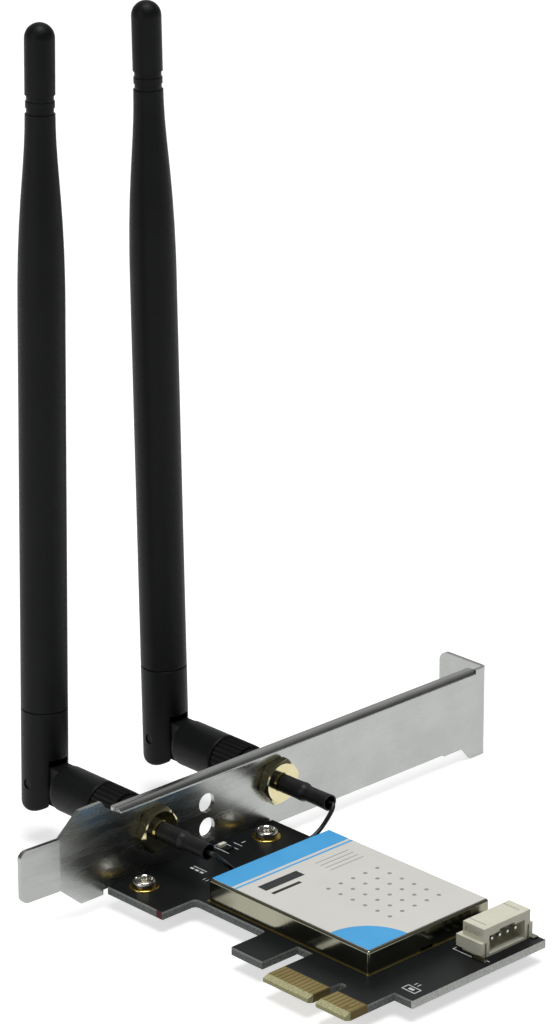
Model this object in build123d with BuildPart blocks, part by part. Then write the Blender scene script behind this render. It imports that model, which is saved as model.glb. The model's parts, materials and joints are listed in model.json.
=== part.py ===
from build123d import *
import os
from math import cos, pi, radians, sin

os.makedirs("parts", exist_ok=True)

# Frame: origin at the key centre on the contact edge, half way through the board;
# X runs from the contacts into the card, Y from the key to the bracket, Z up from the board.

# Fits
touch_gap = 0.02
running_gap = 0.08
pin_gap = 0.05
apart_gap = 0.3

# Circuit board
board_thick = 1.57
tongue_short = 8.15
tongue_long = 12.15
key_width = 1.9
key_depth = 8.0
bevel_long = 1.25
bevel_deep = 0.42
slot_width = 3.95
slot_depth = 12.0
hook_x = 3.6
hook_width = 7.9
inner_edge_x = 12.1
wing_x = 4.05
wing_reach = 14.85
inner_round = 1.0
step_x = 11.9
step_round = 1.1
far_x = 45.4
far_low_y = -12.5
far_round = 2.0
small_round = 0.4
plate_gap = 0.05
board_hole = 1.4

# Edge contacts
contact_pitch = 1.0
contact_width = 0.7
contact_end = 5.0
contact_first = 1.5
contact_count_long = 11
contact_count_short = 7
contact_skip = 1.4
plating = 0.05

# Bracket
plate_y = 57.85
sheet = 0.86
tip_x = -15.6
tongue_length = 8.8
tongue_width = 10.2
tongue_mid = 9.2
tongue_kick = 0.45
tip_round = 1.6
kink_round = 6.0
land_start = 13.6
land_end = 18.9
land_height = 18.42
nick_run = 1.03
nick_drop = 1.47
plate_length = 120.02
plate_height = 15.85
setback = 0.35
relief_width = 2.1
relief_height = 1.0
bend_in = 0.3
tab_width = 6.8
tab_reach = 8.4
tab_round = 1.2
ear_drop = 2.74
ear_width = 4.3
ear_slope = 2.4
step_from_end = 12.0
ledge_reach = 11.43
ledge_round = 2.0
notch_width = 4.42
notch_out = 6.35
notch_depth = 5.2
flange_start = 21.6
flange_skew = 1.94
flange_from_end = 3.22
flange_out = 1.25
flange_bend = 0.3
flange_round = 0.7
window_x = 28.97
window_height = 7.68
window_pitch = 4.94
window_radius = 1.9

# Bracket screws
screw_x = 8.8
screw_pitch = 30.6
screw_in = 5.0
screw_shank = 1.25
screw_head = 2.28
screw_head_height = 1.5
screw_dome = 0.8
screw_under = 0.4
screw_proud = 0.6
cross_long = 2.7
cross_wide = 0.7
cross_deep = 0.6
pad_rim = 0.5
pad_high = 0.28
pad_round = 0.2

# Shield can, its ground ring and its label
can_x = 13.2
can_y = -0.57
can_width = 30.3
can_length = 40.82
can_height = 4.42
can_sheet = 0.25
can_round = 0.5
ring_out = 0.3
ring_in = 0.7
label_thick = 0.1
label_margin = 0.42
mouse_width = 2.4
mouse_height = 3.9
foot_notch_x = 26.0
foot_notch_width = 3.0
foot_notch_height = 0.6

# Radio module on its socket
module_width = 22.0
module_length = 30.0
module_thick = 0.8
module_lift = 1.45
socket_depth = 8.7
socket_height = 3.2
socket_grip = 4.0
socket_from_wall = 0.8
module_notch = 1.75
lid_width = 19.6
lid_length = 19.5
lid_height = 1.3
lid_from_socket = 0.9
standoff_radius = 2.6
standoff_bore = 1.0
module_head = 2.1
module_head_height = 0.7
port_spread = 15.0
port_in = 3.0
port_radius = 0.8
port_height = 0.6
port_base = 2.4
port_base_height = 0.2
plug_cap_radius = 1.05
plug_cap_height = 1.0

# Four-way header
header_x = 32.15
header_width = 11.8
header_back = -4.95
header_depth = 5.1
header_height = 5.6
wing_out = 0.65
wing_back = 1.0
wing_low = 0.75
wing_high = 3.0
header_wall = 1.35
header_floor = 0.45
header_back_wall = 1.2
mouth_top = 4.0
lip_cut = 0.45
lip_cut_width = 4.0
slit_inset = 1.65
slit_width = 0.18
slit_depth = 0.3
slit_length = 4.0
recess_depth = 0.3
recess_low = 3.75
recess_high = 4.9
recess_inset = 0.5
wing_slot = 0.5
wing_slot_inset = 0.2
wing_slot_depth = 0.9
pin_pitch = 2.0
pin_count = 4
pin_size = 0.5
pin_height = 2.7
pin_short = 0.8
pin_foot = 1.3
tab_pad_long = 2.6
tab_pad_wide = 1.3
tab_pad_thick = 0.25

# Status lamp and its resistor
lamp_x = 30.6
lamp_in = 2.3
lamp_long = 1.6
lamp_wide = 0.8
lamp_high = 0.6
resistor_in = 4.4
resistor_high = 0.4

# Antenna jacks
jack_x = 15.8
jack_pitch = 30.69
jack_height = 9.46
jack_barrel = 3.1
jack_barrel_out = 11.7
jack_bore = 2.3
jack_bore_in = 1.0
jack_hex = 8.0
jack_hex_thick = 2.8
jack_hex_chamfer = 0.5
hex_turn_left = 14.0
hex_turn_right = 31.0
jack_face = 3.75
jack_boss = 1.95
jack_boss_long = 0.3
crimp_post = 1.15
crimp_post_long = 3.6
cable_bore = 0.65
insulator_out = 9.4
jack_pin = 0.45
jack_pin_out = 11.2
washer_radius = 4.6
washer_thick = 0.5
nut_thick = 2.0
ferrule_wall = 0.25
ferrule_long = 4.2
ferrule_gap = 0.15
sleeve_wall = 0.27
sleeve_start = 0.1
sleeve_step = 9.3
sleeve_end = 15.55
sleeve_neck = 1.58
sleeve_ramp = 0.7

# Pigtail cables
coax_radius = 0.565
pigtail_drop = 16.3
pigtail_back = 16.2
pigtail_rise = 0.55
pigtail_radius_mouth = 1.9
pigtail_radius_foot = 1.5
pigtail_radius_wall = 1.7
pigtail_step = 5.7

# Antenna
pivot_out = 30.79
lean_left = 1.33
lean_right = -0.86
parting_out = 13.5
knurl_root = 4.2
knurl_rise = 0.3
knurl_count = 30
knurl_start = 7.4
collar_radius = 3.85
collar_start = 4.6
coupling_wall = 12.6
plug_flange = 2.95
plug_flange_thick = 0.5
plug_neck = 2.6
plug_tube_wall = 0.45
plug_tube_in = 9.8
plug_depth = 21.9
plug_contact = 0.8
elbow_radius = 4.5
elbow_round = 0.5
shoulder_round = 1.3
ear_half = 2.05
ear_radius = 3.8
ear_gap = 0.2
crotch_room = 0.6
lug_radius = 5.5
lug_round = 0.7
housing_radius = 4.45
housing_height = 14.6
hinge_pin = 1.0
hinge_recess = 0.3
seam_chamfer = 0.18
spigot_radius = 2.3
spigot_height = 5.0
shoulder_height = 92.0
shoulder_radius = 4.37
shoulder_ease = 20.0
neck_ease = 10.5
neck_height = 128.2
cap_radius = 2.77
groove_depth = 0.27
groove_width = 1.2
bead_width = 1.1
bead_radius = 2.68
cap_length = 10.2
radiator_radius = 1.0
radiator_height = 60.0
whip_wire = 0.5
whip_wire_height = 108.0
whip_wire_room = 4.0

# Shared places
board_top = board_thick / 2
board_low = -board_thick / 2
board_edge_y = plate_y - bend_in - plate_gap
plated_top = board_top + plating
plate_low = board_low
jack_z = plate_low + jack_height
can_mid_x = can_x + can_width / 2
can_far_y = can_y + can_length
can_top = plated_top + can_height
socket_y = can_y + can_sheet + socket_from_wall
module_low = board_top + module_lift
module_top = module_low + module_thick
module_near = socket_y + socket_depth - socket_grip
module_far = module_near + module_length
port_y = module_far - port_in
port_xs = (can_mid_x - port_spread / 2, can_mid_x + port_spread / 2)
header_front = header_back - header_depth
header_mid_x = header_x + header_width / 2
screw_y = plate_y - screw_in
screw_spots = [(screw_x, screw_y), (screw_x + screw_pitch, screw_y)]
pin_xs = [header_mid_x + pin_pitch * (i - (pin_count - 1) / 2) for i in range(pin_count)]
half_sheet = sheet / 2
elevation = Plane(origin=(0, plate_y, plate_low), x_dir=(1, 0, 0), z_dir=(0, -1, 0))


def save(builder, name):
    builder.part.label = name
    export_step(builder.part, f"parts/{name}.step")


def block(x0, x1, y0, y1, z0, z1, mode=Mode.ADD):
    """A plain box between six faces, in the part being built."""
    with BuildSketch(Plane.XY.offset(z0)) as footprint:
        with Locations(((x0 + x1) / 2, (y0 + y1) / 2)):
            Rectangle(x1 - x0, y1 - y0)
    extrude(footprint.sketch, amount=z1 - z0, mode=mode)


def turned(plane, points, mode=Mode.ADD):
    """A closed profile of (along, radius) points, turned about the plane's own X axis."""
    with BuildSketch(plane) as profile:
        with BuildLine():
            Polyline(*points, close=True)
        make_face()
    revolve(profile.sketch, axis=Axis(plane.origin, plane.x_dir), mode=mode)


# Board: outline with the key, the retention hook and the bracket wing
with BuildPart() as circuit_board:
    with BuildSketch(Plane.XY.offset(board_low)) as outline:
        with BuildLine():
            Polyline(
                (0, -tongue_short),
                (0, tongue_long),
                (inner_edge_x, tongue_long),
                (inner_edge_x, tongue_long + slot_width),
                (hook_x, tongue_long + slot_width),
                (hook_x, tongue_long + slot_width + hook_width),
                (inner_edge_x, tongue_long + slot_width + hook_width),
                (inner_edge_x, board_edge_y - wing_reach),
                (wing_x, board_edge_y - wing_reach),
                (wing_x, board_edge_y),
                (far_x, board_edge_y),
                (far_x, far_low_y),
                (step_x, far_low_y),
                (step_x, -tongue_short),
                close=True,
            )
        make_face()
        corners = outline.vertices()
        past_slot = corners.filter_by(lambda v: v.Y > tongue_long + slot_width + touch_gap)
        before_key = corners.filter_by(lambda v: -tongue_short - touch_gap < v.Y < 0)
        far_end = corners.filter_by(lambda v: v.X > far_x - touch_gap)
        fillet(past_slot.filter_by(lambda v: abs(v.X - inner_edge_x) < touch_gap), inner_round)
        fillet(before_key.filter_by(lambda v: abs(v.X - step_x) < touch_gap), step_round)
        fillet(far_end.filter_by(lambda v: v.Y < 0), far_round)
        fillet(far_end.filter_by(lambda v: v.Y > 0), small_round)
        with Locations((0, 0)):
            SlotOverall(2 * key_depth, key_width, mode=Mode.SUBTRACT)
        with Locations((hook_x, tongue_long + slot_width / 2)):
            SlotOverall(2 * (slot_depth - hook_x), slot_width, mode=Mode.SUBTRACT)
        with Locations(*screw_spots):
            Circle(board_hole, mode=Mode.SUBTRACT)
    extrude(amount=board_thick)
    # The two faces of the contact edge are bevelled for the slot
    with BuildSketch(Plane.XZ.offset(-tongue_long)):
        with BuildLine():
            Polyline((0, board_top), (bevel_long, board_top), (0, board_top - bevel_deep), close=True)
        make_face()
        with BuildLine():
            Polyline((0, board_low), (bevel_long, board_low), (0, board_low + bevel_deep), close=True)
        make_face()
    extrude(amount=tongue_long + tongue_short, mode=Mode.SUBTRACT)
save(circuit_board, "circuit_board")

# Contacts: plated strips on both faces; the presence-detect strip on each face stops short
contact_rows = [contact_first + contact_pitch * i for i in range(contact_count_long)]
contact_rows += [-contact_first - contact_pitch * i for i in range(contact_count_short)]
short_rows = {board_top: min(contact_rows) + contact_pitch, board_low - plating: max(contact_rows)}
with BuildPart() as edge_contacts:
    for level, short_row in short_rows.items():
        for row in contact_rows:
            start = bevel_long + (contact_skip if row == short_row else 0)
            block(start, contact_end, row - contact_width / 2, row + contact_width / 2,
                  level, level + plating)
save(edge_contacts, "edge_contacts")

# Bracket: one folded strip of sheet
tab_starts = [x - tab_width / 2 for x, y in screw_spots]
fold_line = plate_height - sheet - flange_bend
fold_start = tip_x + flange_start
fold_stop = tip_x + plate_length - flange_from_end
with BuildPart() as bracket:
    end_x = tip_x + plate_length
    with BuildSketch(Plane.XY.offset(plate_low - ear_drop)):
        with BuildLine():
            FilletPolyline(
                (tip_x, plate_y + half_sheet + tongue_kick),
                (tip_x + tongue_length, plate_y + half_sheet),
                (end_x - half_sheet, plate_y + half_sheet),
                (end_x - half_sheet, plate_y + sheet + ledge_reach),
                radius=[kink_round, bend_in + half_sheet],
            )
        trace(line_width=sheet)
    extrude(amount=ear_drop + land_height)
    # Outline seen square on: tongue, land, ear, end and the line of the long fold, with reliefs at the tabs
    with BuildSketch(elevation) as face_on:
        with BuildLine():
            Polyline(
                (tip_x, tongue_mid - tongue_width / 2),
                (tip_x + tongue_length, tongue_mid - tongue_width / 2),
                (tip_x + land_start, 0),
                (tip_x + land_end, 0),
                (tip_x + land_end, setback),
                (end_x - step_from_end, setback),
                (end_x - step_from_end, 0),
                (end_x - ear_width - ear_slope, 0),
                (end_x - ear_width, -ear_drop),
                (end_x, -ear_drop),
                (end_x, plate_height),
                (fold_stop, plate_height),
                (fold_stop, fold_line),
                (tip_x + land_end, fold_line),
                (tip_x + land_end, land_height),
                (tip_x + land_start, land_height),
                (tip_x + tongue_length, tongue_mid + tongue_width / 2),
                (tip_x, tongue_mid + tongue_width / 2),
                close=True,
            )
        make_face()
        fillet(face_on.vertices().group_by(Axis.X)[0], tip_round)
        for start in tab_starts:
            stop = start + tab_width
            for near, far, top in (
                (start - relief_width, start, relief_height),
                (start, stop, bend_in),
                (stop, stop + relief_width, relief_height),
            ):
                with Locations(((near + far) / 2, top / 2)):
                    Rectangle(far - near, top, mode=Mode.SUBTRACT)
    extrude(amount=ledge_reach * 2, both=True, mode=Mode.INTERSECT)
    fillet(bracket.edges().filter_by(Axis.X).group_by(Axis.Y)[-1], ledge_round)
    # Long stiffening fold along the top, its end beside the land cut off at a slant
    fold_top = (fold_start, plate_y, plate_low + plate_height)
    with BuildSketch(Plane(origin=fold_top, x_dir=(0, 1, 0), z_dir=(1, 0, 0))):
        with BuildLine():
            FilletPolyline(
                (half_sheet, -sheet - flange_bend - half_sheet),
                (half_sheet, -half_sheet),
                (sheet + flange_out, -half_sheet),
                radius=flange_bend + half_sheet,
            )
        trace(line_width=sheet)
    extrude(amount=fold_stop - fold_start)
    with BuildSketch(Plane.XY.offset(plate_low + fold_line)):
        with BuildLine():
            Polyline(
                (fold_start, plate_y),
                (fold_start + flange_skew, plate_y),
                (fold_start, plate_y + sheet + flange_out),
                close=True,
            )
        make_face()
    extrude(amount=sheet + flange_bend, mode=Mode.SUBTRACT)
    fillet(bracket.edges().filter_by(Axis.Z).filter_by(
        lambda e: abs(e.center().Y - plate_y - sheet - flange_out) < touch_gap), flange_round)
    # The plate beside the land rises to that slanted end
    with BuildSketch(elevation):
        with BuildLine():
            Polyline(
                (tip_x + land_end, fold_line),
                (tip_x + land_end, land_height),
                (tip_x + land_end + nick_run, land_height - nick_drop),
                (fold_start + flange_skew, fold_line),
                close=True,
            )
        make_face()
    extrude(amount=-sheet)
    # Two tabs folded under the board
    for start in tab_starts:
        with BuildSketch(Plane(origin=(start, plate_y, plate_low), x_dir=(0, 1, 0), z_dir=(1, 0, 0))):
            with BuildLine():
                FilletPolyline(
                    (half_sheet, relief_height),
                    (half_sheet, -half_sheet),
                    (-tab_reach, -half_sheet),
                    radius=bend_in + half_sheet,
                )
            trace(line_width=sheet)
        extrude(amount=tab_width)
    fillet(bracket.edges().filter_by(Axis.Z).filter_by(
        lambda e: abs(e.center().Y - plate_y + tab_reach) < touch_gap), tab_round)
    with BuildSketch(Plane.XY.offset(plate_low - sheet)):
        with Locations(*screw_spots):
            Circle(screw_shank + touch_gap)
    extrude(amount=sheet, mode=Mode.SUBTRACT)
    # Holes for the jacks, windows for the status lamp, and the open notch for the case screw
    with BuildSketch(elevation):
        with Locations((jack_x, jack_height), (jack_x + jack_pitch, jack_height)):
            Circle(jack_barrel + running_gap)
        with Locations(*[(window_x, window_height + hand * window_pitch / 2) for hand in (-1, 1)]):
            Circle(window_radius)
    extrude(amount=sheet * 2, both=True, mode=Mode.SUBTRACT)
    notch_foot = (end_x, plate_y + sheet + notch_out, plate_low - ear_drop)
    with BuildSketch(Plane(origin=notch_foot, x_dir=(0, 1, 0), z_dir=(1, 0, 0))):
        SlotOverall(2 * notch_depth, notch_width, rotation=90)
    extrude(amount=-sheet - touch_gap, mode=Mode.SUBTRACT)
save(bracket, "bracket")

# Screws that hold the board on the tabs
pad_top = board_top + pad_high
with BuildPart() as bracket_screws:
    with BuildSketch(Plane.XY.offset(pad_top)):
        with Locations(*screw_spots):
            Circle(screw_head)
    extrude(amount=screw_head_height)
    fillet(bracket_screws.edges().group_by(Axis.Z)[-1], screw_dome)
    fillet(bracket_screws.edges().group_by(Axis.Z)[0], screw_under)
    with BuildSketch(Plane.XY.offset(pad_top + screw_head_height)):
        with Locations(*screw_spots):
            Rectangle(cross_long, cross_wide)
            Rectangle(cross_wide, cross_long)
    extrude(amount=-cross_deep, mode=Mode.SUBTRACT)
    with BuildSketch(Plane.XY.offset(pad_top)):
        with Locations(*screw_spots):
            Circle(screw_shank)
    extrude(amount=-pad_high - board_thick - sheet - screw_proud)
save(bracket_screws, "bracket_screws")

with BuildPart() as screw_pads:
    with BuildSketch(Plane.XY.offset(board_top)):
        with Locations(*screw_spots):
            Circle(screw_head + pad_rim)
    extrude(amount=pad_high)
    fillet(screw_pads.edges().group_by(Axis.Z)[-1], pad_round)
    with BuildSketch(Plane.XY.offset(board_top)):
        with Locations(*screw_spots):
            Circle(board_hole)
    extrude(amount=pad_high, mode=Mode.SUBTRACT)
save(screw_pads, "screw_pads")

# Shield can over the radio module, its plated ring on the board and the printed label
with BuildPart() as ground_ring:
    block(can_x - ring_out, can_x + can_width + ring_out, can_y - ring_out, can_far_y + ring_out,
          board_top, plated_top)
    block(can_x + ring_in, can_x + can_width - ring_in, can_y + ring_in, can_far_y - ring_in,
          board_top, plated_top, Mode.SUBTRACT)
save(ground_ring, "ground_ring")

with BuildPart() as shield_can:
    block(can_x, can_x + can_width, can_y, can_far_y, plated_top, can_top)
    fillet(shield_can.edges().filter_by(Axis.Z), can_round)
    fillet(shield_can.edges().group_by(Axis.Z)[-1], can_round)
    block(can_x + can_sheet, can_x + can_width - can_sheet, can_y + can_sheet, can_far_y - can_sheet,
          plated_top, can_top - can_sheet, Mode.SUBTRACT)
    for x in port_xs:
        block(x - mouse_width / 2, x + mouse_width / 2, can_far_y - can_round, can_far_y + can_sheet,
              plated_top, plated_top + mouse_height, Mode.SUBTRACT)
    block(foot_notch_x, foot_notch_x + foot_notch_width, can_y - can_sheet, can_y + can_round,
          plated_top, plated_top + foot_notch_height, Mode.SUBTRACT)
save(shield_can, "shield_can")

with BuildPart() as label:
    with BuildSketch(Plane.XY.offset(can_top)):
        with Locations((can_mid_x, (can_y + can_far_y) / 2)):
            RectangleRounded(can_width - 2 * label_margin, can_length - 2 * label_margin, can_round)
    extrude(amount=label_thick)
save(label, "label")

# Radio module: socket, board, lid, standoff, screw and antenna ports
with BuildPart() as module_socket:
    block(can_mid_x - module_width / 2, can_mid_x + module_width / 2, socket_y, socket_y + socket_depth,
          board_top, board_top + socket_height)
    block(can_mid_x - module_width / 2 - touch_gap, can_mid_x + module_width / 2 + touch_gap,
          module_near - touch_gap, socket_y + socket_depth + touch_gap,
          module_low - touch_gap, module_top + touch_gap, Mode.SUBTRACT)
save(module_socket, "module_socket")

with BuildPart() as module_board:
    with BuildSketch(Plane.XY.offset(module_low)):
        with Locations((can_mid_x, (module_near + module_far) / 2)):
            Rectangle(module_width, module_length)
        with Locations((can_mid_x, module_far)):
            Circle(module_notch, mode=Mode.SUBTRACT)
    extrude(amount=module_thick)
save(module_board, "module_board")

with BuildPart() as module_lid:
    lid_y = socket_y + socket_depth + lid_from_socket
    block(can_mid_x - lid_width / 2, can_mid_x + lid_width / 2, lid_y, lid_y + lid_length,
          module_top, module_top + lid_height)
save(module_lid, "module_lid")

with BuildPart() as module_standoff:
    with BuildSketch(Plane.XY.offset(board_top)):
        with Locations((can_mid_x, module_far)):
            Circle(standoff_radius)
            Circle(standoff_bore + touch_gap, mode=Mode.SUBTRACT)
    extrude(amount=module_lift)
save(module_standoff, "module_standoff")

with BuildPart() as module_screw:
    with BuildSketch(Plane.XY.offset(module_top)):
        with Locations((can_mid_x, module_far)):
            Circle(module_head)
    extrude(amount=module_head_height)
    with BuildSketch(Plane.XY.offset(module_top)):
        with Locations((can_mid_x, module_far)):
            Circle(standoff_bore)
    extrude(amount=-module_thick - module_lift)
save(module_screw, "module_screw")

with BuildPart() as antenna_ports:
    for x in port_xs:
        block(x - port_base / 2, x + port_base / 2, port_y - port_base / 2, port_y + port_base / 2,
              module_top, module_top + port_base_height)
        with BuildSketch(Plane.XY.offset(module_top + port_base_height)):
            with Locations((x, port_y)):
                Circle(port_radius)
        extrude(amount=port_height - port_base_height)
save(antenna_ports, "antenna_ports")

# Four-way header on the board's corner
with BuildPart() as header_housing:
    header_end = header_x + header_width
    wing_z = board_top + wing_high
    mouth_left = header_x + header_wall
    mouth_right = header_end - header_wall
    block(header_x, header_end, header_front, header_back, board_top, board_top + header_height)
    block(header_x - wing_out, header_end + wing_out, header_front - touch_gap, header_back + wing_back,
          board_top + wing_low, wing_z)
    block(mouth_left, mouth_right, header_front - wing_slot_depth, header_back - header_back_wall,
          board_top + header_floor, board_top + mouth_top, Mode.SUBTRACT)
    block(header_mid_x - lip_cut_width / 2, header_mid_x + lip_cut_width / 2,
          header_front - wing_slot_depth, header_back - header_back_wall,
          board_top + mouth_top, board_top + mouth_top + lip_cut, Mode.SUBTRACT)
    for side_x, inward in ((header_x, 1), (header_end, -1)):
        slit_x = side_x + inward * slit_inset
        block(slit_x - slit_width / 2, slit_x + slit_width / 2,
              header_back - slit_length, header_back + touch_gap,
              board_top + header_height - slit_depth, board_top + header_height + touch_gap, Mode.SUBTRACT)
        near, far = sorted((side_x - inward * touch_gap, side_x + inward * recess_depth))
        block(near, far, header_front + recess_inset * 2, header_back - recess_inset,
              board_top + recess_low, board_top + recess_high, Mode.SUBTRACT)
        slot_x = side_x + inward * wing_slot_inset
        near, far = sorted((slot_x, slot_x + inward * wing_slot))
        block(near, far, header_front - wing_slot_depth, header_front + wing_slot_depth,
              board_top - touch_gap, wing_z - wing_slot_inset, Mode.SUBTRACT)
    with BuildSketch(Plane.XZ.offset(-header_back - wing_back)):
        with Locations(*[(x, board_top + pin_height) for x in pin_xs]):
            Rectangle(pin_size + touch_gap, pin_size + touch_gap)
    extrude(amount=wing_back + header_back_wall + touch_gap, mode=Mode.SUBTRACT)
save(header_housing, "header_housing")

with BuildPart() as header_pins:
    leg_y = header_back + wing_back + apart_gap
    for x in pin_xs:
        with BuildSketch(Plane.YZ.offset(x - pin_size / 2)):
            with BuildLine():
                Polyline(
                    (header_front + pin_short, board_top + pin_height),
                    (leg_y + pin_size / 2, board_top + pin_height),
                    (leg_y + pin_size / 2, board_top + pin_size / 2),
                    (leg_y + pin_size / 2 + pin_foot, board_top + pin_size / 2),
                )
            trace(line_width=pin_size)
        extrude(amount=pin_size)
save(header_pins, "header_pins")

with BuildPart() as header_tabs:
    for side_x, outward in ((header_x, -1), (header_x + header_width, 1)):
        near, far = sorted((side_x + outward * touch_gap, side_x + outward * tab_pad_wide))
        block(near, far, header_front - wing_slot_depth, header_front - wing_slot_depth + tab_pad_long,
              board_top, board_top + tab_pad_thick)
save(header_tabs, "header_tabs")

# Status lamp behind the windows and its series resistor
chips = {"status_lamp": (lamp_in, lamp_high), "lamp_resistor": (resistor_in, resistor_high)}
for name, (inset, height) in chips.items():
    with BuildPart() as chip:
        block(lamp_x - lamp_long / 2, lamp_x + lamp_long / 2, plate_y - inset - lamp_wide / 2,
              plate_y - inset + lamp_wide / 2, board_top, board_top + height)
    save(chip, name)


def jack_pieces(side, x, hex_turn):
    """The bulkhead jack, what fixes it to the plate, and the crimped and sleeved tail behind it."""
    axial = Plane(origin=(x, plate_y, jack_z), x_dir=(0, 1, 0), z_dir=(1, 0, 0))
    square = Plane(origin=(x, plate_y, jack_z), x_dir=(1, 0, 0), z_dir=(0, -1, 0))
    boss_end = -jack_hex_thick - jack_boss_long
    post_end = boss_end - crimp_post_long
    with BuildPart() as jack_body:
        with BuildSketch(square):
            RegularPolygon(jack_hex / 2, 6, major_radius=False, rotation=hex_turn)
        extrude(amount=jack_hex_thick)
        hex_corner = jack_hex / 2 / cos(pi / 6)
        turned(axial, [(0, 0), (0, jack_hex), (jack_hex_chamfer - jack_hex_thick, hex_corner),
                       (-jack_hex_thick, jack_face), (-jack_hex_thick, 0)], Mode.INTERSECT)
        turned(axial, [(0, 0), (jack_barrel_out, 0), (jack_barrel_out, jack_barrel), (0, jack_barrel)])
        turned(axial, [(-jack_hex_thick, 0), (-jack_hex_thick, jack_boss), (boss_end, jack_boss),
                       (boss_end, crimp_post), (post_end, crimp_post), (post_end, 0)])
        with BuildSketch(square.offset(-jack_barrel_out)):
            Circle(jack_bore)
        extrude(amount=jack_barrel_out - jack_bore_in, mode=Mode.SUBTRACT)
        with BuildSketch(square.offset(-jack_bore_in)):
            Circle(cable_bore)
        extrude(amount=jack_bore_in - post_end, mode=Mode.SUBTRACT)
    save(jack_body, f"jack_body_{side}")

    with BuildPart() as jack_washer:
        with BuildSketch(square.offset(-sheet)):
            Circle(washer_radius)
            Circle(jack_barrel + running_gap, mode=Mode.SUBTRACT)
        extrude(amount=-washer_thick)
    save(jack_washer, f"jack_washer_{side}")

    with BuildPart() as jack_nut:
        with BuildSketch(square.offset(-sheet - washer_thick)):
            RegularPolygon(jack_hex / 2, 6, major_radius=False)
            Circle(jack_barrel + touch_gap, mode=Mode.SUBTRACT)
        extrude(amount=-nut_thick)
    save(jack_nut, f"jack_nut_{side}")

    with BuildPart() as jack_insulator:
        with BuildSketch(square.offset(-jack_bore_in)):
            Circle(jack_bore)
            Circle(jack_pin, mode=Mode.SUBTRACT)
        extrude(amount=jack_bore_in - insulator_out)
    save(jack_insulator, f"jack_insulator_{side}")

    with BuildPart() as jack_contact:
        with BuildSketch(square.offset(-jack_bore_in)):
            Circle(jack_pin)
        extrude(amount=jack_bore_in - jack_pin_out)
    save(jack_contact, f"jack_contact_{side}")

    ferrule_in = crimp_post + touch_gap
    ferrule_out = ferrule_in + ferrule_wall
    ferrule_start = boss_end - ferrule_gap
    ferrule_end = ferrule_start - ferrule_long
    with BuildPart() as crimp_ferrule:
        turned(axial, [(ferrule_start, ferrule_in), (ferrule_end, ferrule_in), (ferrule_end, ferrule_out),
                       (ferrule_start, ferrule_out)])
    save(crimp_ferrule, f"crimp_ferrule_{side}")

    sleeve_in = ferrule_out + touch_gap
    first = ferrule_start - sleeve_start
    with BuildPart() as heat_sleeve:
        turned(axial, [
            (first, sleeve_in),
            (-sleeve_step, sleeve_in),
            (-sleeve_step - sleeve_ramp, sleeve_neck - sleeve_wall),
            (-sleeve_end, sleeve_neck - sleeve_wall),
            (-sleeve_end, sleeve_neck),
            (-sleeve_step - sleeve_ramp, sleeve_neck),
            (-sleeve_step, sleeve_in + sleeve_wall),
            (first, sleeve_in + sleeve_wall),
        ])
    save(heat_sleeve, f"heat_sleeve_{side}")


def pigtail_pieces(side, points, radii):
    """The coax tail along its route, and the snap-on plug at its end."""
    with BuildPart() as pigtail:
        with BuildLine() as route:
            FilletPolyline(*points, radius=radii)
        with BuildSketch(Plane(origin=route.line @ 0, z_dir=route.line % 0)):
            Circle(coax_radius)
        sweep(path=route.line)
    save(pigtail, f"pigtail_{side}")
    long = route.wire().length
    print(f"pigtail_{side} radii", radii, "length", round(long, 2),
          "volume over section times length", round(pigtail.part.volume / (pi * coax_radius**2 * long), 4))

    x, y, z = points[-1]
    cap_low = module_top + port_base_height + touch_gap
    with BuildPart() as coax_plug:
        with BuildSketch(Plane.XY.offset(cap_low)):
            with Locations((x, port_y)):
                Circle(plug_cap_radius)
        extrude(amount=plug_cap_height)
        with BuildSketch(Plane.XY.offset(cap_low)):
            with Locations((x, port_y)):
                Circle(port_radius + touch_gap)
        extrude(amount=port_height - port_base_height, mode=Mode.SUBTRACT)
    save(coax_plug, f"coax_plug_{side}")


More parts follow.
